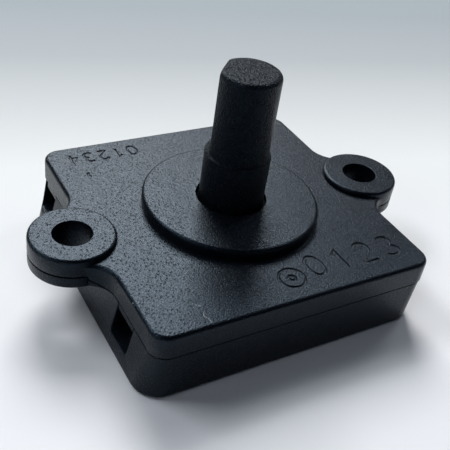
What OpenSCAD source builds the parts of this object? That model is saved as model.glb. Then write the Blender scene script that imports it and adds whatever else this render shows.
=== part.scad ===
// Rotary selector switch for a panel, with a D shaft, four positions and four push-in wire terminals.
// The origin is at the middle of the base's underside, +Z runs up the shaft and +X to one fixing ear.

/* [Housing] */
// Width and depth of the square cover
housing_w = 27.25; // [26:0.25:28.5]
// Radius of the cover's upright corners
corner_r = 1.6; // [1.4:0.05:2.4]
// Radius of the base's upright corners
base_corner_r = 2.1; // [1.5:0.05:2.5]
// Radius of the cavity's upright corners
cavity_corner_r = 0.3; // [0.2:0.05:0.35]
// Height of the base up to the seam
base_h = 4.65; // [4.55:0.05:5.6]
// Depth of the cover from its plate's top down to the seam
cover_h = 2.2; // [2:0.05:2.8]
// Thickness of the cover's plate
plate_t = 1.55; // [1.3:0.05:1.7]
// Thickness of the side walls
wall_t = 1.2; // [1:0.05:1.3]
// Thickness of the base's floor
floor_t = 1.1; // [0.9:0.05:1.2]
// Step by which the base stands inside the cover's edge
seam_step = 0.1; // [0.05:0.05:0.15]
// Spread of the base's -X wall at its foot, which leans out to guide the wires
foot_spread = 1.05; // [0.6:0.05:1.4]
// Rounding of the cover's top edge
cover_edge_r = 0.38; // [0.2:0.02:0.5]
// Depth of the cover's locating lip below the seam
lip_h = 0.35; // [0.2:0.05:0.4]
// Thickness of the cover's locating lip
lip_t = 0.7; // [0.5:0.05:0.9]

/* [Ears] */
// Distance between the two fixing holes
ear_pitch = 30.4; // [29.8:0.1:31.4]
// Radius of each fixing hole, clear of an M3 screw
ear_hole_r = 1.7; // [1.6:0.05:1.9]
// Outer radius of each ear
ear_r = 3.75; // [3.5:0.05:4]
// Radius of the hollow curve from an ear to the side wall
blend_r = 2.5; // [2:0.1:3]
// Height of the ear's collar above the plate
collar_h = 0.5; // [0.3:0.05:0.8]
// Rounding of the collar's edge
collar_edge_r = 0.3; // [0.15:0.05:0.4]
// Rise of the seam at the ears above the seam at the walls
ear_step = 0.9; // [0.7:0.05:1.05]
// Thickness of the base's flange under each ear
flange_t = 1.1; // [1.05:0.05:1.4]
// Rounding of the flange's lower edge
flange_edge_r = 0.25; // [0.15:0.05:0.35]

/* [Boss] */
// Radius of the round boss in the middle of the plate
disc_r = 8.2; // [7.6:0.1:9]
// Height of the boss above the plate
disc_h = 1.06; // [0.8:0.02:1.4]
// Rounding of the boss's edge
disc_edge_r = 0.35; // [0.2:0.05:0.5]
// Gap round the shaft at the boss's mouth
mouth_gap = 0.3; // [0.2:0.05:0.5]
// Depth of the mouth
mouth_depth = 0.5; // [0.3:0.05:0.8]

/* [Wire windows] */
// Width of each wire window
window_w = 3.1; // [2.7:0.05:3.2]
// Height of each wire window
window_h = 2.4; // [2.1:0.05:2.6]
// Height of the windows' lower edge above the base's floor
window_sill = 0.4; // [0.3:0.05:0.5]
// Rounding of the windows' lower corners
window_corner_r = 0.4; // [0.2:0.05:0.6]
// Distance from the cavity's side to the middle of each inner window
window_inset = 4.5; // [4.4:0.05:5.3]
// Thickness of the ribs beside the wire channels
rib_t = 0.8; // [0.6:0.05:0.9]
// Length of the wire channels inside the wall
channel_l = 3.5; // [3.2:0.05:3.7]

/* [Shaft] */
// Radius of the shaft's neck
neck_r = 3; // [2.9:0.02:3.1]
// Height of the neck above the plate, with its shoulder
neck_h = 6; // [4:0.1:8]
// Height of the sloped shoulder between the neck and the upper length
shoulder_h = 0.3; // [0.1:0.05:0.6]
// Radius of the shaft's upper length
tip_r = 2.75; // [2.6:0.01:2.8]
// Height of the shaft's top above the plate
shaft_h = 13.6; // [11:0.1:18]
// Distance from the shaft's axis to its flat
flat_d = 2.2; // [2.1:0.02:2.5]
// Direction that the flat faces at rest, in degrees from +X
flat_angle = 135; // [0:45:315]
// Rounding of the shaft's top edge
tip_edge_r = 0.45; // [0.2:0.05:0.6]

/* [Rotor] */
// Radius of the lower journal
journal_r = 1.4; // [1.2:0.05:1.5]
// Radius of the star wheel over its crests
star_r = 6; // [5.8:0.05:6.1]
// Radius of each notch in the star wheel
notch_r = 2.6; // [2.3:0.05:2.8]
// Depth of each notch
notch_depth = 0.8; // [0.6:0.05:0.9]
// Number of notches round the star wheel
notch_count = 8; // [8:8:8]
// Thickness of the rotor's top flange
rotor_flange_t = 0.57; // [0.45:0.01:0.65]
// Radius of the rotor's top flange
rotor_flange_r = 6.2; // [6.1:0.05:6.4]
// Turn between two neighbouring positions
step_angle = 45; // [45:45:45]
// Steps from the off position to the last one
step_count = 3; // [3:1:3]
// Reach of the stop lug beyond the flange
lug_reach = 1.2; // [1:0.05:1.3]
// Width of the stop lug
lug_w = 1.8; // [1.4:0.1:2.4]
// Direction of the stop lug at rest
lug_angle = 180; // [175:1:185]
// Thickness of the thrust washer
washer_t = 0.27; // [0.2:0.01:0.35]
// Outer radius of the thrust washer
washer_r = 5.2; // [4.6:0.1:5.6]

/* [Contacts] */
// Thickness of the brass strips
strip_t = 0.4; // [0.3:0.05:0.45]
// Width of the brass strips
strip_w = 1.8; // [1.4:0.1:2]
// Width of the terminals inside the wire channels
cage_w = 2.4; // [2:0.05:2.5]
// Radius of the circle on which the fixed contacts lie
contact_circle_r = 6.9; // [6.8:0.05:7]
// Radius of each fixed contact
contact_r = 0.9; // [0.7:0.05:1]
// Direction of the contact bridge at rest
bridge_angle = 43; // [42:1:44]
// Width of the contact bridge
bridge_w = 2.2; // [1.8:0.1:2.3]
// Radius of the circle that the bridge's inner contact runs on
ring_contact_r = 3; // [2.95:0.05:3.1]
// Outer radius of the common terminal's ring
ring_r = 4; // [3.9:0.05:4.1]
// Inner radius of the common terminal's ring
ring_hole_r = 1.95; // [1.85:0.05:2]
// Rise of the bridge's contacts under its strip
button_h = 0.3; // [0.25:0.01:0.34]

/* [Springs] */
// Thickness of the leaf springs
leaf_t = 0.25; // [0.2:0.01:0.3]
// Height of the detent springs
leaf_h = 1.4; // [1.2:0.05:1.5]
// Length of the detent springs
leaf_l = 13.4; // [13:0.1:13.8]
// Height of the detent springs' top below the star wheel's top
leaf_drop = 0.4; // [0.3:0.05:0.5]
// Radius of the nose pressed into each detent spring
nose_r = 1.2; // [1:0.05:1.3]
// Rise of the nose from its leaf's middle
nose_rise = 1.15; // [1.05:0.05:1.3]
// Length of the posts that hold the detent springs
post_l = 1.2; // [1:0.1:1.4]
// Width of the posts that hold the detent springs
post_w = 1.6; // [1.2:0.1:1.7]
// Length of spring inside each post
leaf_seat = 0.9; // [0.6:0.05:0.9]
// Width of the clamp springs
clamp_w = 2.2; // [1.8:0.05:2.4]
// Wire thickness of the bridge's coil spring
coil_wire_d = 0.3; // [0.2:0.02:0.36]
// Mean radius of the bridge's coil spring
coil_r = 0.85; // [0.7:0.01:0.88]
// Turns of the bridge's coil spring
coil_turns = 4; // [3:0.5:5]
// Distance from the axis to the coil spring
coil_x = 4.55; // [4.4:0.05:4.6]

/* [Fits] */
// Radial running clearance of the shaft and the journal
run_gap = 0.05; // [0.02:0.01:0.08]
// Clearance between parts that slide over each other
slide_gap = 0.03; // [0.02:0.01:0.05]
// Clearance round parts that are fitted by hand
fit_gap = 0.05; // [0.03:0.01:0.08]
// Radius of the cover's locating pegs
peg_r = 0.9; // [0.8:0.05:1]
// Wall round the sockets that take the pegs
socket_wall = 0.65; // [0.5:0.05:0.8]

/* [Hidden] */
$fn = 64;

black_plastic = [0.11, 0.12, 0.13];
brass = [0.80, 0.64, 0.32];
spring_steel = [0.72, 0.73, 0.74];
silver = [0.86, 0.86, 0.84];

// Extra length that lets a cutting shape pass through a face
past = 0.5;
// Sink of an inner rib or post into the floor that carries it
sink = 0.3;
// Straight pieces in each rounded edge
edge_steps = 4;

half = housing_w / 2;
inner_half = half - wall_t;
z_seam = base_h;
z_top = base_h + cover_h;
z_ceiling = z_top - plate_t;
z_disc = z_top + disc_h;
z_collar = z_top + collar_h;
z_ear = z_seam + ear_step;
z_window = floor_t + window_sill + window_h;
z_shaft = z_top + shaft_h;
z_neck = z_top + neck_h;
ear_x = ear_pitch / 2;

// The blend circle touches the side wall at blend_y and bites into the ear at touch by a hair
blend_bite = 0.006;
centre_gap = ear_r + blend_r - blend_bite;
blend_c = [half + blend_r, sqrt(pow(centre_gap, 2) - pow(half + blend_r - ear_x, 2))];
ear_c = [ear_x, 0];
touch = ear_c + (blend_c - ear_c) * ear_r / centre_gap;
root = ear_c + (touch - ear_c) / 2;
blend_y = blend_c[1];
blend_end = atan2(touch[1] - blend_c[1], touch[0] - blend_c[0]) + 360;

// Levels inside, from the floor up
z_strip = floor_t + strip_t;
z_track = z_strip + strip_t;
z_button = z_track + slide_gap;
z_bridge = z_button + button_h;
z_rotor = z_bridge + 0.07;

// Levels inside, from the cover's ceiling down
z_washer = z_ceiling - slide_gap - washer_t;
z_flange = z_washer - slide_gap;
z_star = z_flange - rotor_flange_t;
z_leaf = z_star - leaf_drop - leaf_h;
post_top = z_star - leaf_drop / 2;
journal_end = 0.6;
groove_depth = 0.75;

// Detent springs
notch_x = star_r - notch_depth + notch_r;
nose_tip = star_r - notch_depth + fit_gap;
leaf_y = nose_tip + nose_rise;
post_x = leaf_l / 2 - leaf_seat + post_l / 2;

// Track of the bridge's outer contact
track_in = contact_circle_r - contact_r - 0.1;
track_out = contact_circle_r + contact_r + 0.2;
bridge_end = contact_circle_r + contact_r + 0.1;
bridge_start = 2.15;

// Wire terminals as [side, y of the channel's middle], common first
corner_y = inner_half - window_w / 2;
window_y = inner_half - window_inset;
terminal_places = [[-1, corner_y], [1, window_y], [1, -corner_y], [-1, -window_y]];
function contact_angle(i) = bridge_angle - step_angle * i;
function contact_at(i) = contact_circle_r * [cos(contact_angle(i)), sin(contact_angle(i))];

// Pegs of the cover and their sockets in the base
peg_far = inner_half - peg_r - socket_wall;
peg_near_x = 4.4;
peg_mid_x = inner_half - channel_l - peg_r - 0.3;
peg_places = [[-peg_mid_x, -peg_far], [peg_mid_x, peg_far], [-peg_near_x, peg_far], [peg_near_x, -peg_far]];
peg_end = z_seam - 2.6;

// Points of an arc about c, from angle a0 to a1
function arc(c, r, a0, a1, n) = [
    for (i = [0:n])
        let (a = a0 + (a1 - a0) * i / n)
            c + r * [cos(a), sin(a)]
];
function unit(v) = v / norm(v);
function left_of(v) = [-v[1], v[0]];
function heading(p, i) = unit(p[i + 1] - p[i]);
// Point beside the path's point i, at distance s to its left, mitred at bends
function beside(p, i, s) =
    i == 0 ? p[0] + left_of(heading(p, 0)) * s :
    i == len(p) - 1 ? p[i] + left_of(heading(p, i - 1)) * s :
    let (n1 = left_of(heading(p, i - 1)), m = unit(n1 + left_of(heading(p, i))))
        p[i] + m * s / (m * n1);
// Outline of a strip of thickness t bent along the path p
function ribbon(p, t) = concat(
    [for (i = [0:len(p) - 1]) beside(p, i, t / 2)],
    [for (i = [len(p) - 1:-1:0]) beside(p, i, -t / 2)]
);

// Section of the cover's edge, as [distance in from the outline, height]
cover_section = concat(
    [[0, z_seam]],
    [for (p = arc([cover_edge_r, z_top - cover_edge_r], cover_edge_r, 180, 90, edge_steps)) p],
    [[corner_r, z_top], [corner_r, z_seam]]
);

// Outline of a section, measured outwards from the corners' centres
module edge_outline(section) {
    polygon([for (p = section) [corner_r - p[0], p[1]]]);
}

// A square block with rounded corners whose edge follows a section
module edged_block(section, z0, z1) {
    reach = half - corner_r;
    for (q = [0:3]) {
        rotate(90 * q) {
            translate([reach, reach, 0])
                rotate_extrude(angle = 90)
                    edge_outline(section);
            translate([reach, 0, 0])
                rotate([90, 0, 0])
                    linear_extrude(2 * reach, center = true)
                        edge_outline(section);
        }
    }
    translate([-reach, -reach, z0])
        cube([2 * reach, 2 * reach, z1 - z0]);
}

// Outer body of the base: upright walls, but for the -X wall, which leans out towards its foot
module base_block() {
    h = half - seam_step;
    r = base_corner_r;
    lean = atan(foot_spread / z_seam);
    middle = -half / 2;
    linear_extrude(z_seam)
        intersection() {
            rounded_square(h, r);
            translate([middle, -half])
                square([housing_w, housing_w]);
        }
    intersection() {
        translate([-h, 0, z_seam])
            rotate([0, lean, 0])
                translate([0, 0, -2 * z_seam])
                    linear_extrude(3 * z_seam)
                        translate([h, 0])
                            rounded_square(h, r);
        translate([-housing_w, -half, 0])
            cube([housing_w + middle, housing_w, z_seam]);
    }
}

module rounded_square(h, r) {
    square([2 * h, 2 * (h - r)], center = true);
    square([2 * (h - r), 2 * h], center = true);
    for (x = [-1, 1])
        for (y = [-1, 1])
            translate([x * (h - r), y * (h - r)])
                circle(r);
}

// The web between side wall and ear, cut back to radius r about each blend centre
module ear_web(r) {
    difference() {
        polygon([
            [half - corner_r, -blend_y],
            [blend_c[0], -blend_y],
            [root[0], -root[1]],
            [root[0], root[1]],
            [blend_c[0], blend_y],
            [half - corner_r, blend_y]
        ]);
        for (s = [-1, 1])
            translate([blend_c[0], s * blend_y])
                circle(r);
    }
}

// The rounded top edge along one blend
module blend_edge() {
    translate([blend_c[0], blend_c[1], 0])
        rotate([0, 0, 180])
            rotate_extrude(angle = blend_end - 180)
                polygon(concat(
                    [for (p = arc([blend_r + cover_edge_r, z_top - cover_edge_r], cover_edge_r, 180, 90, edge_steps)) p],
                    [[blend_r + cover_edge_r, z_top - cover_edge_r]]
                ));
}

module ear_body() {
    translate([0, 0, z_seam])
        linear_extrude(cover_h - cover_edge_r)
            ear_web(blend_r);
    translate([0, 0, z_seam])
        linear_extrude(cover_h)
            ear_web(blend_r + cover_edge_r);
    blend_edge();
    mirror([0, 1, 0])
        blend_edge();
    translate([ear_x, 0, 0])
        rotate_extrude()
            polygon(concat(
                [[0, z_ear], [ear_r, z_ear]],
                arc([ear_r - collar_edge_r, z_collar - collar_edge_r], collar_edge_r, 0, 90, edge_steps),
                [[0, z_collar]]
            ));
}

// Puts its children in both ears' places, half a turn apart
module at_ears() {
    for (a = [0, 180])
        rotate(a)
            children();
}

// Puts its children at wire terminal i, with +X running inwards from the inner wall face
module at_terminal(i) {
    place = terminal_places[i];
    translate([place[0] * inner_half, place[1], 0])
        rotate(place[0] > 0 ? 180 : 0)
            children();
}

module cover() {
    color(black_plastic)
        difference() {
            union() {
                difference() {
                    union() {
                        edged_block(cover_section, z_seam, z_top);
                        at_ears() ear_body();
                    }
                    translate([0, 0, z_seam - past])
                        linear_extrude(z_ceiling - z_seam + past)
                            rounded_square(inner_half, cavity_corner_r);
                    at_ears() flange_room();
                }
                boss();
                locating_lip();
                for (p = peg_places)
                    translate([p[0], p[1], peg_end])
                        cylinder(h = z_ceiling - peg_end + sink, r = peg_r);
                stop_blocks();
            }
            for (s = [-1, 1])
                translate([s * ear_x, 0, z_seam - past])
                    cylinder(h = z_collar - z_seam + 2 * past, r = ear_hole_r);
            translate([0, 0, z_ceiling - past])
                cylinder(h = z_disc - z_ceiling + 2 * past, r = neck_r + run_gap);
            translate([0, 0, z_disc - mouth_depth])
                cylinder(h = mouth_depth + past, r = neck_r + mouth_gap);
        }
}

// Room under one ear for the base's flange, which stands above the seam of the walls
module flange_room() {
    translate([0, 0, z_seam - past])
        linear_extrude(z_ear - z_seam + past)
            difference() {
                translate([ear_x, 0])
                    circle(ear_r + seam_step);
                square(2 * (inner_half - fit_gap), center = true);
            }
}

// Round boss in the middle of the plate
module boss() {
    rotate_extrude()
        polygon(concat(
            [[0, z_top - sink], [disc_r, z_top - sink]],
            arc([disc_r - disc_edge_r, z_disc - disc_edge_r], disc_edge_r, 0, 90, edge_steps),
            [[0, z_disc]]
        ));
}

// Lip inside the base's rim, with a plug that closes the top of each wire window
module locating_lip() {
    lip_half = inner_half - fit_gap;
    translate([0, 0, z_seam - lip_h])
        linear_extrude(z_ceiling + sink - z_seam + lip_h)
            difference() {
                rounded_square(lip_half, cavity_corner_r);
                square(2 * (lip_half - lip_t), center = true);
            }
    intersection() {
        for (i = [0:3])
            at_terminal(i) {
                plug_w = window_w - 2 * fit_gap;
                translate([-wall_t, -plug_w / 2, z_window])
                    cube([wall_t, plug_w, z_seam + sink - z_window]);
                translate([-wall_t, -plug_w / 2, z_seam - lip_h])
                    cube([wall_t + lip_t, plug_w, lip_h + sink]);
            }
        translate([0, 0, z_window - past])
            linear_extrude(z_seam + sink - z_window + past)
                rounded_square(half - seam_step, base_corner_r);
    }
}

// Stops for the rotor's lug, hanging from the cover's ceiling
module stop_blocks() {
    block_w = 1.6;
    block_in = rotor_flange_r + 0.25;
    block_l = lug_reach + 0.4;
    reach = rotor_flange_r + lug_reach;
    spread = asin((lug_w + block_w) / 2 / rotor_flange_r) + 0.8;
    for (a = [lug_angle + spread, lug_angle - step_angle * step_count - spread])
        rotate(a)
            translate([block_in, -block_w / 2, z_star + slide_gap])
                cube([block_l, block_w, z_ceiling + sink - z_star - slide_gap]);
}

module base() {
    color(black_plastic)
        difference() {
            union() {
                difference() {
                    union() {
                        base_block();
                        at_ears() base_flange();
                    }
                    translate([0, 0, floor_t])
                        linear_extrude(z_ear - floor_t + past)
                            rounded_square(inner_half, cavity_corner_r);
                }
                channel_ribs();
                spring_posts();
                peg_sockets();
                contact_track();
            }
            for (i = [0:3])
                window_cut(i);
            for (s = [-1, 1])
                translate([s * ear_x, 0, z_ear - flange_t - past])
                    cylinder(h = flange_t + 2 * past, r = ear_hole_r);
            translate([0, 0, journal_end - fit_gap])
                cylinder(h = z_seam, r = journal_r + run_gap);
            strip_recesses();
            spring_slots();
        }
}

// Round flange of the base under one ear, rooted in the wall
module base_flange() {
    z_low = z_ear - flange_t;
    translate([ear_x, 0, 0])
        rotate_extrude()
            polygon(concat(
                [[0, z_ear], [0, z_low]],
                arc([ear_r - flange_edge_r, z_low + flange_edge_r], flange_edge_r, -90, 0, edge_steps),
                [[ear_r, z_ear]]
            ));
}

// Notch through the wall and its inner corner, open at the rim, where a wire enters
module window_cut(i) {
    depth = wall_t + foot_spread + past;
    sill = floor_t + window_sill;
    low_w = window_w - 2 * window_corner_r;
    at_terminal(i)
        translate([-depth, 0, sill])
            rotate([90, 0, 90])
                linear_extrude(depth + cavity_corner_r) {
                    translate([-low_w / 2, 0])
                        square([low_w, z_seam - sill + past]);
                    translate([-window_w / 2, window_corner_r])
                        square([window_w, z_seam - sill + past - window_corner_r]);
                    for (s = [-1, 1])
                        translate([s * low_w / 2, window_corner_r])
                            circle(window_corner_r);
                }
}

// Ribs on both sides of the inner channels and on the inner side of the corner channels
module channel_ribs() {
    for (i = [0:3])
        at_terminal(i) {
            side = terminal_places[i][0] * sign(terminal_places[i][1]);
            for (s = i % 2 == 0 ? [side] : [-1, 1])
                translate([-sink, s > 0 ? window_w / 2 : -window_w / 2 - rib_t, floor_t - sink])
                    cube([channel_l + sink, rib_t, z_seam - lip_h - fit_gap - floor_t + sink]);
        }
}

// Two posts for each detent spring
module spring_posts() {
    for (x = [-1, 1])
        for (y = [-1, 1])
            translate([x * post_x - post_l / 2, y * leaf_y - post_w / 2, floor_t - sink])
                cube([post_l, post_w, post_top - floor_t + sink]);
}

// Slots in the posts that hold the ends of the detent springs
module spring_slots() {
    slot_t = leaf_t + 2 * fit_gap;
    for (y = [-1, 1])
        translate([-leaf_l / 2 - fit_gap, y * leaf_y - slot_t / 2, z_leaf - fit_gap])
            cube([leaf_l + 2 * fit_gap, slot_t, z_seam - z_leaf]);
}

module peg_sockets() {
    for (p = peg_places)
        translate([p[0], p[1], floor_t - sink])
            difference() {
                cylinder(h = z_seam - lip_h - fit_gap - floor_t + sink, r = peg_r + socket_wall);
                translate([0, 0, peg_end - fit_gap - floor_t + sink])
                    cylinder(h = z_seam, r = peg_r + fit_gap);
            }
}

// Pad of the common ring and raised track of the bridge's outer contact
module contact_track() {
    translate([0, 0, floor_t - sink])
        cylinder(h = strip_t + sink, r = ring_r + 0.2);
    translate([0, 0, floor_t - sink])
        cylinder(h = 2 * strip_t + sink, r = ring_hole_r - fit_gap);
    translate([0, 0, floor_t - sink])
        linear_extrude(2 * strip_t + sink)
            difference() {
                circle(track_out);
                circle(track_in);
            }
    translate([0, 0, floor_t - sink])
        linear_extrude(strip_t + sink)
            common_route(strip_w);
}

// Room for the strips and the fixed contacts in the floor's raised features
module strip_recesses() {
    for (i = [1:3]) {
        translate([0, 0, floor_t])
            linear_extrude(strip_t + fit_gap)
                contact_route(i, strip_w + 2 * fit_gap, contact_r + 0.3 + fit_gap);
        translate([contact_at(i)[0], contact_at(i)[1], floor_t])
            cylinder(h = 2 * strip_t + past, r = contact_r + fit_gap);
    }
    translate([0, 0, z_strip])
        linear_extrude(strip_t + fit_gap)
            common_route(strip_w + 2 * fit_gap);
}

// Middle of the terminal's inner end, where its strip leaves the wire channel
function cage_end(i) = [
    terminal_places[i][0] * (inner_half - channel_l + strip_w / 2),
    terminal_places[i][1]
];

// A straight strip in plan from p to q
module strip_between(p, q, w) {
    d = q - p;
    translate([p[0], p[1]])
        rotate(atan2(d[1], d[0]))
            translate([0, -w / 2])
                square([norm(d), w]);
}

// Plan of the strip from fixed contact i to its wire channel
module contact_route(i, w, pad_r) {
    p = contact_at(i);
    translate([p[0], p[1]])
        circle(pad_r);
    if (i == 1) {
        corner = [cage_end(i)[0], p[1]];
        strip_between(p, corner + [w / 2, 0], w);
        strip_between(corner, cage_end(i), w);
    } else {
        strip_between(p, cage_end(i), w);
    }
}

// Plan of the strip from the common ring to its wire channel
module common_route(w) {
    end = cage_end(0);
    strip_between(end * (ring_hole_r + ring_r) / 2 / norm(end), end, w);
}

// The part of a terminal inside its wire channel, with its plate's underside at z0
module cage(z0) {
    translate([fit_gap, -cage_w / 2, z0])
        cube([channel_l - fit_gap, cage_w, strip_t]);
    translate([channel_l - strip_t, -cage_w / 2, z0])
        cube([strip_t, cage_w, z_seam - lip_h - z0]);
}

module terminal(i) {
    color(brass) {
        translate([0, 0, floor_t])
            linear_extrude(strip_t)
                contact_route(i, strip_w, contact_r + 0.3);
        at_terminal(i)
            cage(floor_t);
    }
}

module terminal_1() {
    terminal(1);
}

module terminal_2() {
    terminal(2);
}

module terminal_3() {
    terminal(3);
}

module common_terminal() {
    color(brass) {
        translate([0, 0, z_strip])
            linear_extrude(strip_t)
                difference() {
                    union() {
                        circle(ring_r);
                        common_route(strip_w);
                    }
                    circle(ring_hole_r);
                }
        at_terminal(0)
            cage(z_strip);
    }
}

module fixed_contact(i) {
    color(silver)
        translate([contact_at(i)[0], contact_at(i)[1], z_strip])
            cylinder(h = strip_t, r = contact_r);
}

module fixed_contact_1() {
    fixed_contact(1);
}

module fixed_contact_2() {
    fixed_contact(2);
}

module fixed_contact_3() {
    fixed_contact(3);
}

// Leaf that presses a wire onto the strip below it, bent from one flat blank
module clamp_spring(i) {
    z_plate = (i == 0 ? z_track : z_strip);
    upper = z_seam - lip_h - fit_gap - leaf_t / 2;
    bend_r = 0.3;
    bend_c = [fit_gap + leaf_t / 2 + bend_r, upper - bend_r];
    tip = [channel_l - strip_t - 0.55, z_plate + 0.2];
    lean = atan2(tip[1] - bend_c[1], tip[0] - bend_c[0]) - 90;
    path = concat(
        [[channel_l - strip_t - fit_gap, upper]],
        arc(bend_c, bend_r, 90, 360 + lean, 8),
        [tip]
    );
    color(spring_steel)
        at_terminal(i)
            translate([0, clamp_w / 2, 0])
                rotate([90, 0, 0])
                    linear_extrude(clamp_w)
                        polygon(ribbon(path, leaf_t));
}

module clamp_spring_common() {
    clamp_spring(0);
}

module clamp_spring_1() {
    clamp_spring(1);
}

module clamp_spring_2() {
    clamp_spring(2);
}

module clamp_spring_3() {
    clamp_spring(3);
}

// Leaf with a round nose that rests in a notch of the star wheel
module detent_spring(side) {
    nose_c = nose_tip + nose_r;
    mid_r = nose_r - leaf_t / 2;
    open = acos((nose_c - leaf_y) / mid_r);
    path = concat(
        [[-leaf_l / 2, leaf_y]],
        arc([0, nose_c], mid_r, 270 - open, 270 + open, 12),
        [[leaf_l / 2, leaf_y]]
    );
    color(spring_steel)
        rotate(side)
            translate([0, 0, z_leaf])
                linear_extrude(leaf_h)
                    polygon(ribbon(path, leaf_t));
}

module detent_spring_front() {
    detent_spring(180);
}

module detent_spring_back() {
    detent_spring(0);
}

module rotor() {
    color(black_plastic)
        difference() {
            union() {
                rotor_turned();
                star_wheel();
                rotate(lug_angle)
                    translate([rotor_flange_r - 0.5, -lug_w / 2, z_star + 0.05])
                        cube([lug_reach + 0.5, lug_w, rotor_flange_t - 0.05]);
            }
            rotate(bridge_angle)
                translate([bridge_start - fit_gap, -bridge_w / 2 - fit_gap, z_rotor - past])
                    cube([star_r, bridge_w + 2 * fit_gap, past + groove_depth]);
            rotate(bridge_angle)
                translate([coil_x, 0, z_rotor])
                    cylinder(h = z_star - z_rotor, r = coil_r + coil_wire_d / 2 + fit_gap);
            rotate(flat_angle)
                translate([flat_d, -neck_r, z_neck - shoulder_h / 3])
                    cube([neck_r, 2 * neck_r, shaft_h]);
        }
}

// Everything on the rotor that is round about its axis, from the journal up to the shaft's top
module rotor_turned() {
    rotate_extrude()
        polygon(concat(
            [[0, journal_end], [journal_r, journal_end], [journal_r, z_rotor], [star_r - 2, z_rotor]],
            [[star_r - 2, z_star], [rotor_flange_r, z_star], [rotor_flange_r, z_flange], [neck_r, z_flange]],
            [[neck_r, z_neck - shoulder_h], [tip_r, z_neck]],
            arc([tip_r - tip_edge_r, z_shaft - tip_edge_r], tip_edge_r, 0, 90, edge_steps),
            [[0, z_shaft]]
        ));
}

module star_wheel() {
    translate([0, 0, z_rotor])
        linear_extrude(z_star - z_rotor)
            difference() {
                circle(star_r);
                for (i = [0:notch_count - 1])
                    rotate(i * 360 / notch_count)
                        translate([notch_x, 0])
                            circle(notch_r);
            }
}

module thrust_washer() {
    color(brass)
        translate([0, 0, z_washer])
            difference() {
                cylinder(h = washer_t, r = washer_r);
                translate([0, 0, -past])
                    cylinder(h = washer_t + 2 * past, r = neck_r + run_gap);
            }
}

module contact_bridge() {
    color(brass)
        rotate(bridge_angle)
            translate([0, 0, z_bridge])
                linear_extrude(strip_t)
                    intersection() {
                        translate([bridge_start, -bridge_w / 2])
                            square([bridge_end, bridge_w]);
                        circle(bridge_end);
                    }
}

module bridge_contact(r) {
    color(silver)
        rotate(bridge_angle)
            translate([r, 0, z_button])
                cylinder(h = button_h, r1 = contact_r - 0.2, r2 = contact_r - 0.05);
}

module bridge_contact_inner() {
    bridge_contact(ring_contact_r);
}

module bridge_contact_outer() {
    bridge_contact(contact_circle_r);
}

// Coil spring in the rotor's pocket, a round wire swept along a helix
module bridge_spring() {
    z0 = z_bridge + strip_t + coil_wire_d / 2;
    z1 = z_star - coil_wire_d / 2 - slide_gap;
    sides = 6;
    rings = 14 * coil_turns;
    wire_r = coil_wire_d / 2;
    points = [
        for (k = [0:rings])
            let (a = 360 * coil_turns * k / rings, z = z0 + (z1 - z0) * k / rings)
                for (j = [0:sides - 1])
                    let (r = coil_r + wire_r * cos(360 * j / sides))
                        [r * cos(a), r * sin(a), z + wire_r * sin(360 * j / sides)]
    ];
    faces = concat(
        [[for (j = [0:sides - 1]) j]],
        [
            for (k = [0:rings - 1])
                for (j = [0:sides - 1])
                    let (n = (j + 1) % sides)
                        [k * sides + j, (k + 1) * sides + j, (k + 1) * sides + n, k * sides + n]
        ],
        [[for (j = [sides - 1:-1:0]) rings * sides + j]]
    );
    color(spring_steel)
        rotate(bridge_angle)
            translate([coil_x, 0, 0])
                polyhedron(points, faces);
}

base();
cover();
rotor();
thrust_washer();
detent_spring_front();
detent_spring_back();
contact_bridge();
bridge_spring();
bridge_contact_inner();
bridge_contact_outer();
common_terminal();
terminal_1();
terminal_2();
terminal_3();
fixed_contact_1();
fixed_contact_2();
fixed_contact_3();
clamp_spring_common();
clamp_spring_1();
clamp_spring_2();
clamp_spring_3();
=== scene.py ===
# %% [markdown]
# # A rotary selector switch in black nylon
#
# The switch is a square black housing in two halves, with two fixing ears, a round boss and a plastic
# shaft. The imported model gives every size. This lesson adds what the model can't show: soft edges, sunk
# marks, a moulded skin with its grain and scuffs, metal inside, and the light of the photograph.
#
# The frame is loaded first, because every piece takes its place from it.

# %% Load the frame
import bpy
import bmesh
import math
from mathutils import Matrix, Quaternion, Vector


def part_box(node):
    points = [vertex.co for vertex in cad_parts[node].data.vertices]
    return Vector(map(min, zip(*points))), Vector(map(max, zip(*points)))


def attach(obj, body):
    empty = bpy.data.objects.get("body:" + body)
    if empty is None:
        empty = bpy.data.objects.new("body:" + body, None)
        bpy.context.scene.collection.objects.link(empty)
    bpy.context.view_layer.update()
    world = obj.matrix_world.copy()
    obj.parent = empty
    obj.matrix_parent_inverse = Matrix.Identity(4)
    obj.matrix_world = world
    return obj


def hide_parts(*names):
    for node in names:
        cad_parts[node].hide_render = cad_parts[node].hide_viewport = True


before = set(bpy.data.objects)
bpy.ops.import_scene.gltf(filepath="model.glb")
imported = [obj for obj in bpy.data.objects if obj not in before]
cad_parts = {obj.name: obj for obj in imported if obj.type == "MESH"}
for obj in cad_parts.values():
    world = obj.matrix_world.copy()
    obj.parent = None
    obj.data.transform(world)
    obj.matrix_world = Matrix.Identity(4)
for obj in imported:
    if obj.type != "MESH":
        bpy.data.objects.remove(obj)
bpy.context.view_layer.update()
scene = bpy.context.scene
MM = 0.001

# %% [markdown]
# ## Small helpers
#
# A screen colour such as #20262e is stored for the eye, while a shader adds and multiplies light. One
# function turns the one into the other. A second one adds a node with its settings and its links, for
# material trees and geometry trees alike, so each tree below reads as a list of what it does.

# %% Colour and node helpers
def linear(hex_colour):
    channels = [int(hex_colour[i:i + 2], 16) / 255 for i in (1, 3, 5)]
    light = [c / 12.92 if c <= 0.04045 else ((c + 0.055) / 1.055) ** 2.4 for c in channels]
    return tuple(light) + (1.0,)


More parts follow.
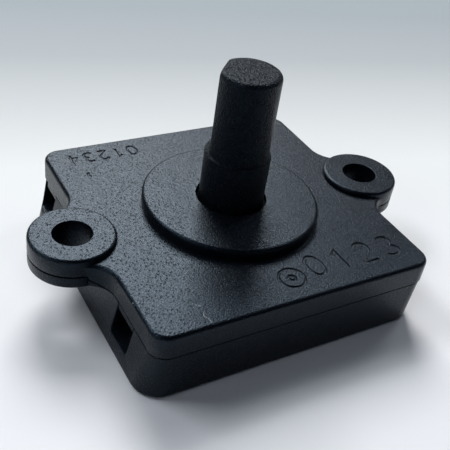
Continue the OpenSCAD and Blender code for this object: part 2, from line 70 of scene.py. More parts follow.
def add(tree, kind, inputs=None, **settings):
    node = tree.nodes.new(kind)
    for name, value in settings.items():
        setattr(node, name, value)
    for name, value in (inputs or {}).items():
        if isinstance(value, bpy.types.NodeSocket):
            tree.links.new(value, node.inputs[name])
        else:
            node.inputs[name].default_value = value
    return node


print("the palest grain in linear light:", [round(c, 4) for c in linear("#20262e")])

# %% [markdown]
# ## The camera
#
# The photograph was taken from close by, so the near corner looks much larger than the far one. A short
# distance to the part gives that, and the lens only sets how much of the frame it fills. The place, the
# aim and the roll come from a fit of the photo's straight edges and circles to the model's sizes. The
# roll tips the whole picture a little, as a camera held by hand does.

# %% Camera
CAMERA_PLACE = Vector((-31.932, -46.740, 46.487)) * MM
CAMERA_AIM = Vector((-1.949, -2.698, 6.85)) * MM
CAMERA_ROLL = 9.311
CAMERA_LENS = 59.3
SENSOR_WIDTH = 36
NEAR_CLIP, FAR_CLIP = 0.002, 20
camera = bpy.data.objects.new("photo_camera", bpy.data.cameras.new("photo_camera"))
scene.collection.objects.link(camera)
camera.data.lens = CAMERA_LENS
camera.data.sensor_width = SENSOR_WIDTH
camera.data.clip_start = NEAR_CLIP
camera.data.clip_end = FAR_CLIP
camera.location = CAMERA_PLACE
camera.rotation_mode = "QUATERNION"
look = (CAMERA_AIM - CAMERA_PLACE).to_track_quat("-Z", "Y")
camera.rotation_quaternion = look @ Quaternion((0, 0, 1), math.radians(CAMERA_ROLL))
scene.camera = camera
print("camera is", round((CAMERA_AIM - CAMERA_PLACE).length / MM, 1), "mm from its aim")

# %% [markdown]
# ## Light
#
# Black plastic shows mostly what it mirrors. The photo's main light is a soft source behind the switch,
# a bit to its right: it throws the shaft's shadow towards the camera and draws a sheen over every level
# face, while the upright faces in front stay nearly black. One large lamp could do this, but its edge
# would show in the sheen. So a small lamp below it and one above it let the sheen fade off. A wide lamp
# behind on the left brings the sheen over to the plate's left side. Three weak ones at the sides show
# the walls: two for the right ones, one for the left.
#
# The camera sees a pale backdrop above the sheet, while a dim blue room lights the part. The world can
# give both, because Light Path tells which rays come straight from the camera.

# %% Lights and world
scene.view_settings.view_transform = "Standard"

# Azimuth is measured from +Y towards +X, in degrees. Sizes are in metres and powers in watts.
LAMP_DISTANCE = 0.6
LAMPS = (
    # name, azimuth, elevation, width and height, power, colour
    ("window", 20, 44, (0.26, 0.26), 3.2, "#ffffff"),
    ("window_foot", 2, 26, (0.13, 0.13), 0.45, "#ffffff"),
    ("window_head", 0, 62, (0.15, 0.15), 0.25, "#ffffff"),
    ("left_window", -48, 50, (0.28, 0.14), 1.25, "#f2f7ff"),
    ("right_wall", 66, 40, (0.14, 0.3), 0.42, "#f2f7ff"),
    ("side_wall", 100, 42, (0.14, 0.3), 0.12, "#f2f7ff"),
    ("left_wall", -100, 30, (0.3, 0.2), 0.45, "#f2f7ff"),
)


def area_lamp(name, azimuth, elevation, size, power, colour):
    data = bpy.data.lights.new(name, "AREA")
    data.shape = "RECTANGLE"
    data.size, data.size_y = size
    data.energy = power
    data.color = linear(colour)[:3]
    lamp = bpy.data.objects.new(name, data)
    a, e = math.radians(azimuth), math.radians(elevation)
    towards = Vector((math.sin(a) * math.cos(e), math.cos(a) * math.cos(e), math.sin(e)))
    lamp.location = towards * LAMP_DISTANCE
    lamp.rotation_mode = "QUATERNION"
    lamp.rotation_quaternion = (-lamp.location).to_track_quat("-Z", "Y")
    scene.collection.objects.link(lamp)


for lamp_facts in LAMPS:
    area_lamp(*lamp_facts)

world = bpy.data.worlds.new("dim_room")
scene.world = world
world.use_nodes = True
tree = world.node_tree
tree.nodes.clear()
seen = add(tree, "ShaderNodeLightPath").outputs["Is Camera Ray"]
room = add(tree, "ShaderNodeBackground", {"Color": linear("#95bff3"), "Strength": 0.03}).outputs[0]
backdrop = add(tree, "ShaderNodeBackground", {"Color": linear("#b4bcc3"), "Strength": 1.0}).outputs[0]
surround = add(tree, "ShaderNodeMixShader", {"Fac": seen, 1: room, 2: backdrop}).outputs[0]
add(tree, "ShaderNodeOutputWorld", {"Surface": surround})

# %% [markdown]
# ## The sheet under the switch
#
# The switch lies on a plain pale sheet that turns greyer far behind it. That greyer tone is painted shade:
# the lamps could give it too, but then the part's light would change with it. So the sheet's own colour
# carries it: a ramp along the line that runs up the picture. Matt paper scatters light evenly, so a plain
# diffuse shader is enough.

# %% Sheet
HALF_SHEET = 0.4
SHEET_DROP = 0.02 * MM
UP_THE_PICTURE = (0.256, 0.967, 0)
# Where the ramp starts and ends on that line, in metres from the switch's middle
RAMP_START, RAMP_END = -0.03, 0.08
# The ramp's far tones are painted shade: the sheet greys away from the switch.
NEAR_TONE, FAR_TONE = "#eeeff1", "#9ca5a9"
MIDDLE_TONES = (
    (0.2, "#eff0f2"), (0.43, "#e5e7e6"), (0.55, "#cdd0d0"), (0.69, "#b1b6b8"), (0.86, "#a0a7ab"))

paper = bpy.data.materials.new("pale_paper")
paper.use_nodes = True
tree = paper.node_tree
tree.nodes.clear()
place = add(tree, "ShaderNodeTexCoord").outputs["Object"]
away = add(tree, "ShaderNodeVectorMath", {0: place, 1: UP_THE_PICTURE}, operation="DOT_PRODUCT")
span = add(tree, "ShaderNodeMapRange", {
    "Value": away.outputs["Value"], "From Min": RAMP_START, "From Max": RAMP_END})
tone = add(tree, "ShaderNodeValToRGB", {"Fac": span.outputs["Result"]})
ramp = tone.color_ramp
ramp.elements[0].position, ramp.elements[0].color = 0.0, linear(NEAR_TONE)
ramp.elements[1].position, ramp.elements[1].color = 1.0, linear(FAR_TONE)
for position, colour in MIDDLE_TONES:
    ramp.elements.new(position).color = linear(colour)
paper_skin = add(tree, "ShaderNodeBsdfDiffuse", {"Color": tone.outputs["Color"]})
add(tree, "ShaderNodeOutputMaterial", {"Surface": paper_skin.outputs[0]})

floor_mesh = bpy.data.meshes.new("floor")
corners = [(x * HALF_SHEET, y * HALF_SHEET, 0) for x, y in ((-1, -1), (1, -1), (1, 1), (-1, 1))]
floor_mesh.from_pydata(corners, [], [(0, 1, 2, 3)])
floor_mesh.materials.append(paper)
floor = bpy.data.objects.new("floor", floor_mesh)
scene.collection.objects.link(floor)
floor.location.z = -SHEET_DROP
print("sheet tones:", len(ramp.elements))

# %% [markdown]
# ## Black glass-filled nylon
#
# The housing is polyamide 66 with short glass fibre, moulded in a spark-eroded tool. The tool gives a
# fine grain, so the skin is matt from above and glitters where light grazes it. Three patterns make that
# relief: a noise for the grain, round pits for the deeper craters of the sparks, and slow waves where the
# wall shrank. Roughness follows the grain, because the melt copies its floors less sharply than its tops.
#
# A real grain is a few hundredths of a millimetre wide. It is drawn 0.125 mm wide, with pits 0.25 mm
# apart, so that the picture can show it. Carbon black leaves almost no colour of its own: what the eye
# sees is the bluish sheen of the skin, weaker than on bare nylon because glass and carbon break it up.
#
# The shaft is the same plastic. Its grain is about as fine, its pits are deeper, and short waves run
# over it, so it looks rougher than the housing.

# %% Plastic materials
NYLON_IOR = 1.53
# Roughness goes up and down by this much with the grain
GRAIN_SWING = 0.06
BLUISH_SHEEN = (0.50, 0.74, 1.0, 1.0)
# The colour sockets of a Mix node share their names with others, so they are picked by number
FIRST_COLOUR, SECOND_COLOUR, MIXED_COLOUR = 6, 7, 2


def principled(name):
    material = bpy.data.materials.new(name)
    material.use_nodes = True
    material.node_tree.nodes.clear()
    tree = material.node_tree
    shader = add(tree, "ShaderNodeBsdfPrincipled")
    add(tree, "ShaderNodeOutputMaterial", {"Surface": shader.outputs[0]})
    place = add(tree, "ShaderNodeTexCoord").outputs["Object"]
    return material, tree, shader, place


def moulded_nylon(name, dark, pale, grain_mm, depth_mm, wave_mm, wave_depth_mm, roughness, gloss):
    material, tree, shader, place = principled(name)
    grains = add(tree, "ShaderNodeTexNoise", {
        "Vector": place, "Scale": 1 / (grain_mm * MM), "Detail": 2.0, "Roughness": 0.6})
    waves = add(tree, "ShaderNodeTexNoise", {
        "Vector": place, "Scale": 1 / (wave_mm * MM), "Detail": 3.0})
    grain = add(tree, "ShaderNodeMapRange", {
        "Value": grains.outputs["Fac"], "From Min": 0.3, "From Max": 0.7})
    # Pits at scattered points two grains apart: 0.4 of that spacing from its middle, a pit ends
    cells = add(tree, "ShaderNodeTexVoronoi", {
        "Vector": place, "Scale": 1 / (2 * grain_mm * MM), "Randomness": 1.0})
    pits = add(tree, "ShaderNodeMapRange", {
        "Value": cells.outputs["Distance"], "From Min": 0.05, "From Max": 0.4})
    # The grain counts for six tenths of a pit's depth
    skin = add(tree, "ShaderNodeMath", {
        0: grain.outputs["Result"], 1: 0.6, 2: pits.outputs["Result"]}, operation="MULTIPLY_ADD")
    # Only the highest grains show the paler glass fibre
    fibre = add(tree, "ShaderNodeMapRange", {
        "Value": grains.outputs["Fac"], "From Min": 0.54, "From Max": 0.74})
    colour = add(tree, "ShaderNodeMix", {
        "Factor": fibre.outputs["Result"], FIRST_COLOUR: linear(dark), SECOND_COLOUR: linear(pale)},
        data_type="RGBA")
    rough = add(tree, "ShaderNodeMapRange", {
        "Value": grain.outputs["Result"],
        "To Min": roughness + GRAIN_SWING, "To Max": roughness - GRAIN_SWING})
    swell = add(tree, "ShaderNodeBump", {
        "Height": waves.outputs["Fac"], "Strength": 1.0, "Distance": wave_depth_mm * MM})
    relief = add(tree, "ShaderNodeBump", {
        "Height": skin.outputs["Value"], "Normal": swell.outputs["Normal"],
        "Strength": 1.0, "Distance": depth_mm * MM})
    tree.links.new(colour.outputs[MIXED_COLOUR], shader.inputs["Base Color"])
    tree.links.new(rough.outputs["Result"], shader.inputs["Roughness"])
    tree.links.new(relief.outputs["Normal"], shader.inputs["Normal"])
    shader.inputs["IOR"].default_value = NYLON_IOR
    shader.inputs["Specular IOR Level"].default_value = gloss
    shader.inputs["Specular Tint"].default_value = BLUISH_SHEEN
    return material


housing_nylon = moulded_nylon(
    "spark_eroded_black_nylon", dark="#04060a", pale="#20262e", grain_mm=0.125, depth_mm=0.021,
    wave_mm=3.0, wave_depth_mm=0.02, roughness=0.29, gloss=0.205)
rotor_nylon = moulded_nylon(
    "fine_moulded_black_nylon", dark="#030508", pale="#20262e", grain_mm=0.15, depth_mm=0.07,
    wave_mm=0.9, wave_depth_mm=0.1, roughness=0.34, gloss=0.13)
# Painted shade for the gap round the shaft: near black and with nearly no gloss, so no lamp lights it
mouth_shade_nylon = moulded_nylon(
    "painted_shade_mouth_nylon", dark="#020304", pale="#05070a", grain_mm=0.15, depth_mm=0.02,
    wave_mm=0.9, wave_depth_mm=0.02, roughness=0.6, gloss=0.02)
print("plastics:", housing_nylon.name, rotor_nylon.name, mouth_shade_nylon.name)

# %% [markdown]
# ## Merged copies of the moulded pieces
#
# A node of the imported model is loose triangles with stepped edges. A copy is merged first, so that its
# faces share corners and can be shaded smooth. Flat triangles are joined to large faces. The normals are
# then weighted by face area: the big flats stay flat and only the narrow strips of each rounded edge bend
# the light. Edges that turn by more than 38 degrees stay sharp.

# %% Copy, soften and shade
MERGE_REACH = 0.001 * MM
FLAT_TURN = math.radians(0.4)
BEVEL_TURN = math.radians(50)
SHARP_TURN = math.radians(38)


def merged_copy(node, name):
    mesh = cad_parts[node].data.copy()
    mesh.name = name
    mesh.materials.clear()
    work = bmesh.new()
    work.from_mesh(mesh)
    bmesh.ops.remove_doubles(work, verts=work.verts, dist=MERGE_REACH)
    bmesh.ops.dissolve_limit(work, angle_limit=FLAT_TURN, verts=work.verts, edges=work.edges)
    open_edges = sum(1 for e in work.edges if not e.is_manifold)
    work.to_mesh(mesh)
    work.free()
    piece = bpy.data.objects.new(name, mesh)
    scene.collection.objects.link(piece)
    print(name, "faces:", len(mesh.polygons), "open edges:", open_edges)
    return piece


def soften(piece, chosen, width_mm, segments=2):
    """Bevels the outward edges whose middle, in millimetres, chosen accepts."""
    work = bmesh.new()
    work.from_mesh(piece.data)
    sharp = []
    for e in work.edges:
        if len(e.link_faces) == 2 and e.calc_face_angle(0) > BEVEL_TURN and e.is_convex:
            if chosen((e.verts[0].co + e.verts[1].co) / 2 / MM):
                sharp.append(e)
    bmesh.ops.bevel(
        work, geom=sharp, offset=width_mm * MM, segments=segments, profile=0.5, affect="EDGES")
    work.to_mesh(piece.data)
    work.free()
    print(piece.name, "softened edges:", len(sharp), "faces:", len(piece.data.polygons))


def shade(piece):
    work = bmesh.new()
    work.from_mesh(piece.data)
    for face in work.faces:
        face.smooth = True
    for edge in work.edges:
        edge.smooth = not (len(edge.link_faces) == 2 and edge.calc_face_angle(0) > SHARP_TURN)
    work.to_mesh(piece.data)
    work.free()
    weigh = piece.modifiers.new("weighted_normals", "WEIGHTED_NORMAL")
    weigh.keep_sharp = True


cover = merged_copy("cover", "cover_shell")
base = merged_copy("base", "base_shell")
rotor = merged_copy("rotor", "rotor_shaft")

# %% Places on the model, in millimetres
Z_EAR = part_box("base")[1].z / MM
Z_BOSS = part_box("cover")[1].z / MM
Z_SEAM = 4.65
Z_PLATE = 6.85
Z_COLLAR = 7.35
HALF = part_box("cover")[1].y / MM
# The outermost skin: a band inside the walls, and what lies out in a corner beyond its middle
SKIN_BAND, CORNER_PLACE, CORNER_REACH = 0.3, 11.4, 1.9
# The base's walls stand back this far behind the cover's
BASE_STEP = 0.1
# Corner radii seen from above: the cover's, the base's, and the base's at the foot of its left wall
COVER_ARC, BASE_ARC, FOOT_ARC = 1.5, 2.1, 2.3
# The left wall of the base leans out by this much at its foot
LEAN = 1.05
EAR_X = 15.2
# Distances from an ear's middle: just outside its hole, just inside its rim, just outside its rim
EAR_HOLE, EAR_RIM, EAR_CLEAR = 1.8, 3.7, 3.8
LEVEL_SLACK = 0.01


def level(p, z):
    return abs(p.z - z) < LEVEL_SLACK


def from_ear(p):
    return math.hypot(abs(p.x) - EAR_X, p.y)


def outside(p):
    in_corner = math.hypot(max(abs(p.x) - CORNER_PLACE, 0), max(abs(p.y) - CORNER_PLACE, 0))
    return max(abs(p.x), abs(p.y)) > HALF - SKIN_BAND or in_corner > CORNER_REACH


print("seam", Z_SEAM, "ear seam", round(Z_EAR, 2), "boss", round(Z_BOSS, 2), "half width", round(HALF, 3))

# %% [markdown]
# ## The seam and the soft edges
#
# The cover and the base meet in a seam that the eye reads as a fine dark line. It is dark because the two
# edges aren't truly sharp: the base's rim falls away outwards by a fifth of a millimetre, and the cover's
# edge is rounded. A dark line in the material would be simpler, but it would stay black where light falls
# into the real gap. Under the ears the gap is opened from the cover's side. The rim of the base is also
# brought out in its corners, where the photo shows both halves with one outline.
#
# The other edges are softened by a bevel with real widths, and each strip catches its own thin light. The
# base's foot is rounded more, so that the part leaves its tool.

# %% Open the seam and soften the edges
SEAM_DROP = 0.2
EAR_GAP = 0.14
SEAM_SOFT, COLLAR_SOFT, FOOT_SOFT, WINDOW_SOFT, SHAFT_SOFT = 0.05, 0.08, 0.35, 0.12, 0.06
# How far a point may miss a corner's quarter circle, as a share of the radius
PAST_END, OFF_ARC = 0.01, 0.02


def open_seam(piece):
    """Lets the rim fall away outwards, and brings its corners out to the cover's corner radius."""
    work = bmesh.new()
    work.from_mesh(piece.data)
    centre = HALF - BASE_STEP - BASE_ARC
    gap = BASE_ARC - COVER_ARC
    moved = []
    for v in work.verts:
        p = v.co / MM
        if level(p, Z_SEAM) and outside(p) and from_ear(p) > EAR_CLEAR:
            u, w = (abs(p.x) - centre) / BASE_ARC, (abs(p.y) - centre) / BASE_ARC
            if min(u, w) > -PAST_END and abs(math.hypot(u, w) - 1) < OFF_ARC:
                v.co.x += math.copysign(gap * (1 - u) * MM, p.x)
                v.co.y += math.copysign(gap * (1 - w) * MM, p.y)
            v.co.z -= SEAM_DROP * MM
            moved.append(v)
    bent = {face for v in moved for face in v.link_faces}
    bmesh.ops.triangulate(work, faces=list(bent))
    work.to_mesh(piece.data)
    work.free()
    print(piece.name, "rim points moved:", len(moved))


def cover_rim(p):
    under_ear = level(p, Z_EAR + EAR_GAP) and from_ear(p) > EAR_RIM
    return (level(p, Z_SEAM) and outside(p)) or under_ear


open_seam(base)
for v in cover.data.vertices:
    if level(v.co / MM, Z_EAR) and from_ear(v.co / MM) > EAR_RIM:
        v.co.z += EAR_GAP * MM
soften(cover, cover_rim, SEAM_SOFT)
soften(cover, lambda p: level(p, Z_COLLAR) and from_ear(p) < EAR_HOLE, COLLAR_SOFT)
soften(base, lambda p: level(p, 0) and outside(p), FOOT_SOFT, segments=4)

# %% [markdown]
# ## The leaning wall's foot
#
# The left wall leans out to guide the wires. In the photo its front foot corner is rounder than the
# others, and towards the front the wall leans a little less. Both its foot corners get the same radius.
# The bevel is done by now, so its points only have to slide. Each one moves in full at the foot and not
# at all at the seam, and the wall stays straight.

# %% Widen the foot's corners
FRONT_LEAN_BACK = 0.24
# Points farther to the left than this belong to the leaning wall, in millimetres
LEANING_WALL = 12.6
# Points nearer than this share of the radius belong to the inside of a corner
CORNER_INSIDE = 0.7
BEFORE_CORNER = 0.02

for v in base.data.vertices:
    p = v.co / MM
    fall = max(0, 1 - p.z / (Z_SEAM - SEAM_DROP))
    centre = HALF - BASE_STEP - BASE_ARC
    across, along = -p.x - centre - LEAN * (1 - p.z / Z_SEAM), abs(p.y) - centre
    reach = math.hypot(across, along)
    if min(across, along) > -BEFORE_CORNER and reach > CORNER_INSIDE * BASE_ARC:
        v.co.x += (FOOT_ARC - BASE_ARC) * fall * (1 - across / reach) * MM
        v.co.y -= math.copysign((FOOT_ARC - BASE_ARC) * fall * (1 - along / reach) * MM, p.y)
    leaning, to_front = min(1, max(0, -p.x - LEANING_WALL)), max(0, -p.y / HALF)
    v.co.x += FRONT_LEAN_BACK * fall * leaning * to_front * MM
print("foot corners widened from", BASE_ARC, "to", FOOT_ARC, "mm")

# %% [markdown]
# ## Windows and shaft
#
# The wire windows have softened rims, so that no wire is scraped. The shaft's upper length is thinner
# than its neck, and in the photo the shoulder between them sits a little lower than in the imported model.

# %% Soften the windows and the shaft
WINDOW_LOW, WINDOW_HIGH, WINDOW_BAND = 1.4, 4.6, 0.4
# From below the shoulder to just under the tip
SHAFT_LOW, SHAFT_HIGH = 12.4, 20.3
Z_SHOULDER, SHOULDER_SLACK, SHOULDER_DROP, INSIDE_SHOULDER = 12.85, 0.02, 0.2, 2.5
soften(base, lambda p: WINDOW_LOW < p.z < WINDOW_HIGH and abs(p.x) > HALF - WINDOW_BAND, WINDOW_SOFT)
soften(rotor, lambda p: SHAFT_LOW < p.z < SHAFT_HIGH, SHAFT_SOFT)
for v in rotor.data.vertices:
    on_shoulder = abs(v.co.z / MM - Z_SHOULDER) < SHOULDER_SLACK
    if on_shoulder and math.hypot(v.co.x, v.co.y) > INSIDE_SHOULDER * MM:
        v.co.z -= SHOULDER_DROP * MM
print("shoulder now at", round(Z_SHOULDER - SHOULDER_DROP, 2), "mm")

# %% [markdown]
# ## Marks sunk into the plate
#
# The plate carries a ring and rows of thin signs, sunk about a tenth of a millimetre deep. Plain numbers
# stand here: 0 to 3 for the switch's positions in front, 0 to 4 for its wires at the back. Each sign is a
# path of one stroke. The gap of the seam, where it climbs from the left wall to the ear, is one more path.
#
# Geometry Nodes turn all paths into round tubes, as a ball-nosed cutter would sweep them, and a boolean
# takes the tubes out of the plate. A bump would be simpler, but a real depth catches light from any side
# and is part of the mesh itself.

# %% Strokes as paths
def arc(cx, cy, rx, ry, start, end, steps=20):
    turn = [math.radians(start + (end - start) * i / steps) for i in range(steps + 1)]
    return [(cx + rx * math.cos(a), cy + ry * math.sin(a)) for a in turn]


# Each digit fits a box one unit high and 0.6 wide
DIGITS = {
    "0": [arc(0.3, 0.5, 0.3, 0.5, 90, 450)],
    "1": [[(0.1, 0.76), (0.36, 1.0), (0.36, 0.0)]],
    "2": [arc(0.3, 0.71, 0.28, 0.29, 165, -35) + [(0.02, 0.0), (0.6, 0.0)]],
    "3": [arc(0.28, 0.75, 0.25, 0.25, 150, -80) + arc(0.28, 0.26, 0.3, 0.26, 80, -150)],
    "4": [[(0.46, 0.0), (0.46, 1.0), (0.02, 0.32), (0.62, 0.32)]],
}


def sign(text, x, y, height, turned=False):
    """Paths of one digit whose box's middle is at x, y, in millimetres."""
    flip = -1 if turned else 1
    return [
        [(x + flip * (u - 0.3) * height, y + flip * (v - 0.5) * height) for u, v in path]
        for path in DIGITS[text]]


def at_height(paths, z):
    return [[(x, y, z) for x, y in path] for path in paths]


RING_X, RING_Y, RING_RADIUS, DOT_RADIUS = -0.02, -10.95, 1.15, 0.3
FRONT_X, FRONT_Y, FRONT_PITCH, FRONT_HEIGHT = 2.75, -10.25, 2.7, 2.5
BACK_X, BACK_Y, BACK_PITCH, BACK_HEIGHT = -5.0, 11.35, 1.5, 1.5
MOULD_PIT = [(-12.50, -10.70), (-12.46, -10.66)]
BACK_ARC = arc(-10.35, 8.5, 0.3, 0.34, 110, 260, 8)

clear = [arc(RING_X, RING_Y, RING_RADIUS, RING_RADIUS, 0, 360, 40)]
clear += [arc(RING_X, RING_Y, DOT_RADIUS, DOT_RADIUS, 0, 360, 16)]
for i, digit in enumerate("0123"):
    clear += sign(digit, FRONT_X + FRONT_PITCH * i, FRONT_Y, FRONT_HEIGHT)
clear += [MOULD_PIT]
faint = [BACK_ARC]
for i, digit in enumerate("01234"):
    faint += sign(digit, BACK_X - BACK_PITCH * i, BACK_Y, BACK_HEIGHT, turned=True)

# The seam's gap: straight along the left wall, then up along the blend towards the ear
BLEND_X, BLEND_Y, BLEND_RADIUS, BLEND_TURN, BLEND_STEPS = -16.095, -6.18, 2.5, 78, 12
WALL_SKIN, WALL_END = -HALF + 0.03, -12.1
GAP_RISE, BLEND_RISE = 0.1, 0.85
seam_line = [(WALL_SKIN, WALL_END, Z_SEAM + GAP_RISE), (WALL_SKIN, BLEND_Y, Z_SEAM + GAP_RISE)]
for i in range(1, BLEND_STEPS + 1):
    a = math.radians(BLEND_TURN * i / BLEND_STEPS)
    rise = GAP_RISE + BLEND_RISE * (i / BLEND_STEPS) ** 3
    seam_line.append(
        (BLEND_X + BLEND_RADIUS * math.cos(a), BLEND_Y + BLEND_RADIUS * math.sin(a), Z_SEAM + rise))
print("clear strokes:", len(clear), "faint:", len(faint), "seam points:", len(seam_line))


# %% Tubes along the strokes with Geometry Nodes
def path_host(name, paths):
    mesh = bpy.data.meshes.new(name)
    points, edges = [], []
    for path in paths:
        closed = math.dist(path[0], path[-1]) < 0.001
        places = path[:-1] if closed else path
        first = len(points)
        points += [(x * MM, y * MM, z * MM) for x, y, z in places]
        edges += [(first + i, first + i + 1) for i in range(len(places) - 1)]
        if closed:
            edges.append((first + len(places) - 1, first))
    mesh.from_pydata(points, edges, [])
    host = bpy.data.objects.new(name, mesh)
    scene.collection.objects.link(host)
    return host


def geometry_tree(name, sizes):
    """A new tree with one named input per size. Returns it, its given values and their identifiers."""
    tree = bpy.data.node_groups.new(name, "GeometryNodeTree")
    tree.interface.new_socket("Geometry", in_out="INPUT", socket_type="NodeSocketGeometry")
    ids = {}
    for label, value in sizes.items():
        kind = "NodeSocketInt" if isinstance(value, int) else "NodeSocketFloat"
        ids[label] = tree.interface.new_socket(label, in_out="INPUT", socket_type=kind).identifier
    tree.interface.new_socket("Geometry", in_out="OUTPUT", socket_type="NodeSocketGeometry")
    return tree, tree.nodes.new("NodeGroupInput").outputs, ids


def sweep(tree, curve, radius, sides):
    """Draws a round profile along a curve."""
    profile = add(tree, "GeometryNodeCurvePrimitiveCircle", {
        "Resolution": sides, "Radius": radius}, mode="RADIUS").outputs["Curve"]
    return add(tree, "GeometryNodeCurveToMesh", {
        "Curve": curve, "Profile Curve": profile, "Fill Caps": True}).outputs["Mesh"]


def close_tree(tree, geometry, material):
    real = add(tree, "GeometryNodeRealizeInstances", {"Geometry": geometry}).outputs["Geometry"]
    finished = add(tree, "GeometryNodeSetMaterial", {"Geometry": real, "Material": material})
    add(tree, "NodeGroupOutput", {"Geometry": finished.outputs["Geometry"]})


def grow(host, tree, ids, sizes, name):
    """Runs the tree on the host and returns its result as a plain mesh object in place of the host."""
    modifier = host.modifiers.new("grow", "NODES")
    modifier.node_group = tree
    for label, value in sizes.items():
        modifier[ids[label]] = value
    evaluated = host.evaluated_get(bpy.context.evaluated_depsgraph_get())
    mesh = bpy.data.meshes.new_from_object(evaluated)
    mesh.name = name
    bpy.data.objects.remove(host)
    piece = bpy.data.objects.new(name, mesh)
    scene.collection.objects.link(piece)
    print(name, "faces:", len(mesh.polygons))
    return piece


STROKE_SIZES = {"Stroke radius": 0.14 * MM, "Sides": 10}
stroke_tree, given, stroke_ids = geometry_tree("swept_strokes", STROKE_SIZES)
line = add(stroke_tree, "GeometryNodeMeshToCurve", {"Mesh": given["Geometry"]}).outputs["Curve"]
tube = sweep(stroke_tree, line, given["Stroke radius"], given["Sides"])
close_tree(stroke_tree, tube, housing_nylon)

# %% Sink the marks
# Paths and the tube's radius, in millimetres. A tube's middle lies just above the plate, so that less
# than half of it cuts in. The faint marks are a little wider and shallower.
CUTS = (
    (at_height(clear, Z_PLATE + 0.02), 0.14),
    (at_height(faint, Z_PLATE + 0.05), 0.16),
    ([seam_line], 0.08),
)
faces_before = len(cover.data.polygons)
for paths, radius in CUTS:
    sizes = {**STROKE_SIZES, "Stroke radius": radius * MM}
    cutter = grow(path_host("strokes", paths), stroke_tree, stroke_ids, sizes, "stroke_tubes")
    engrave = cover.modifiers.new("engrave", "BOOLEAN")
    engrave.operation = "DIFFERENCE"
    engrave.solver = "EXACT"
    engrave.use_self = True
    engrave.object = cutter
    sunk = bpy.data.meshes.new_from_object(cover.evaluated_get(bpy.context.evaluated_depsgraph_get()))
    cover.modifiers.clear()
    sunk.materials.clear()
    cover.data = sunk
    bpy.data.objects.remove(cutter)
print("faces of the cover:", faces_before, "then", len(cover.data.polygons))

# %% [markdown]
# ## Rolled brass, spring steel and silver
#
# Behind the wire windows the switch is metal. The terminals and the contact bridge are stamped from
# rolled brass strip, the springs from bright spring steel, and the contact rivets are silver. Rolling
# leaves fine lines along the strip, and they draw a highlight out across them. So the noise for
# roughness and relief is stretched in one direction. Real lines are finer: they are drawn 0.05 to
# 0.08 mm wide, so that they can show. Silver isn't rolled, and it tarnishes in soft patches.

# %% Metals
STAIN_MM = 1.5
ROUGHNESS_SWING = 0.1
LINE_DEPTH = 0.004 * MM


def rolled_metal(name, dark, pale, line_mm, stretch, roughness):
    material, tree, shader, place = principled(name)
    drawn = add(tree, "ShaderNodeMapping", {"Vector": place, "Scale": (1 / stretch, 1, 1)})
    lines = add(tree, "ShaderNodeTexNoise", {
        "Vector": drawn.outputs["Vector"], "Scale": 1 / (line_mm * MM), "Detail": 2.0}).outputs["Fac"]
    stains = add(tree, "ShaderNodeTexNoise", {
        "Vector": place, "Scale": 1 / (STAIN_MM * MM), "Detail": 3.0}).outputs["Fac"]
    patch = add(tree, "ShaderNodeMapRange", {"Value": stains, "From Min": 0.35, "From Max": 0.65})
    colour = add(tree, "ShaderNodeMix", {
        "Factor": patch.outputs["Result"], FIRST_COLOUR: linear(dark), SECOND_COLOUR: linear(pale)},
        data_type="RGBA")
    rough = add(tree, "ShaderNodeMapRange", {
        "Value": lines, "To Min": roughness - ROUGHNESS_SWING, "To Max": roughness + ROUGHNESS_SWING})
    relief = add(tree, "ShaderNodeBump", {"Height": lines, "Strength": 0.4, "Distance": LINE_DEPTH})
    tree.links.new(colour.outputs[MIXED_COLOUR], shader.inputs["Base Color"])
    tree.links.new(rough.outputs["Result"], shader.inputs["Roughness"])
    tree.links.new(relief.outputs["Normal"], shader.inputs["Normal"])
    shader.inputs["Metallic"].default_value = 1.0
    return material


brass = rolled_metal("rolled_brass_strip", "#b08b46", "#d4b26a", 0.06, 8, 0.32)
spring_steel = rolled_metal("bright_spring_steel", "#9a9da1", "#bfc2c5", 0.05, 10, 0.3)
silver = rolled_metal("tarnished_contact_silver", "#b9b6ae", "#e0deda", 0.08, 1, 0.28)
METAL_NODES = (
    (brass, (
        "thrust_washer", "contact_bridge", "common_terminal", "terminal_1", "terminal_2", "terminal_3")),
    (spring_steel, (
        "clamp_spring_common", "clamp_spring_1", "clamp_spring_2", "clamp_spring_3")),
    (silver, (
        "bridge_contact_inner", "bridge_contact_outer",
        "fixed_contact_1", "fixed_contact_2", "fixed_contact_3")),
)
for metal, nodes in METAL_NODES:
    for node in nodes:
        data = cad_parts[node].data
        data.materials.clear()
        data.materials.append(metal)
    print(metal.name, "on", len(nodes), "nodes")

# %% [markdown]
# ## The coil spring under the bridge
#
# The model's spring is a wire with six sides. A spiral curve with a round profile draws it smoothly. Its
# place and height come from the model's node, which it replaces. It is wound narrower than the model's:
# at the last switch position the spring stands beside the nose of the front detent leaf, and the narrow
# coil passes it.

# %% Coil spring with Geometry Nodes
spring_low, spring_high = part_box("bridge_spring")
WIRE_RADIUS = 0.13 * MM
WIRE_SIDES = 10
COIL_OUTER_RADIUS = 0.64 * MM
COIL_TURNS = 4.0
POINTS_PER_TURN = 28
COIL_SIZES = {
    "Coil radius": COIL_OUTER_RADIUS - WIRE_RADIUS,
    "Coil height": spring_high.z - spring_low.z - 2 * WIRE_RADIUS,
    "Turns": COIL_TURNS,
    "Wire radius": WIRE_RADIUS,
    "Place X": (spring_high.x + spring_low.x) / 2,
    "Place Y": (spring_high.y + spring_low.y) / 2,
    "Place Z": spring_low.z + WIRE_RADIUS,
}
coil_tree, given, coil_ids = geometry_tree("coil_spring", COIL_SIZES)
spiral = add(coil_tree, "GeometryNodeCurveSpiral", {
    "Resolution": POINTS_PER_TURN, "Rotations": given["Turns"], "Start Radius": given["Coil radius"],
    "End Radius": given["Coil radius"], "Height": given["Coil height"]}).outputs["Curve"]
spot = add(coil_tree, "ShaderNodeCombineXYZ", {
    "X": given["Place X"], "Y": given["Place Y"], "Z": given["Place Z"]}).outputs["Vector"]
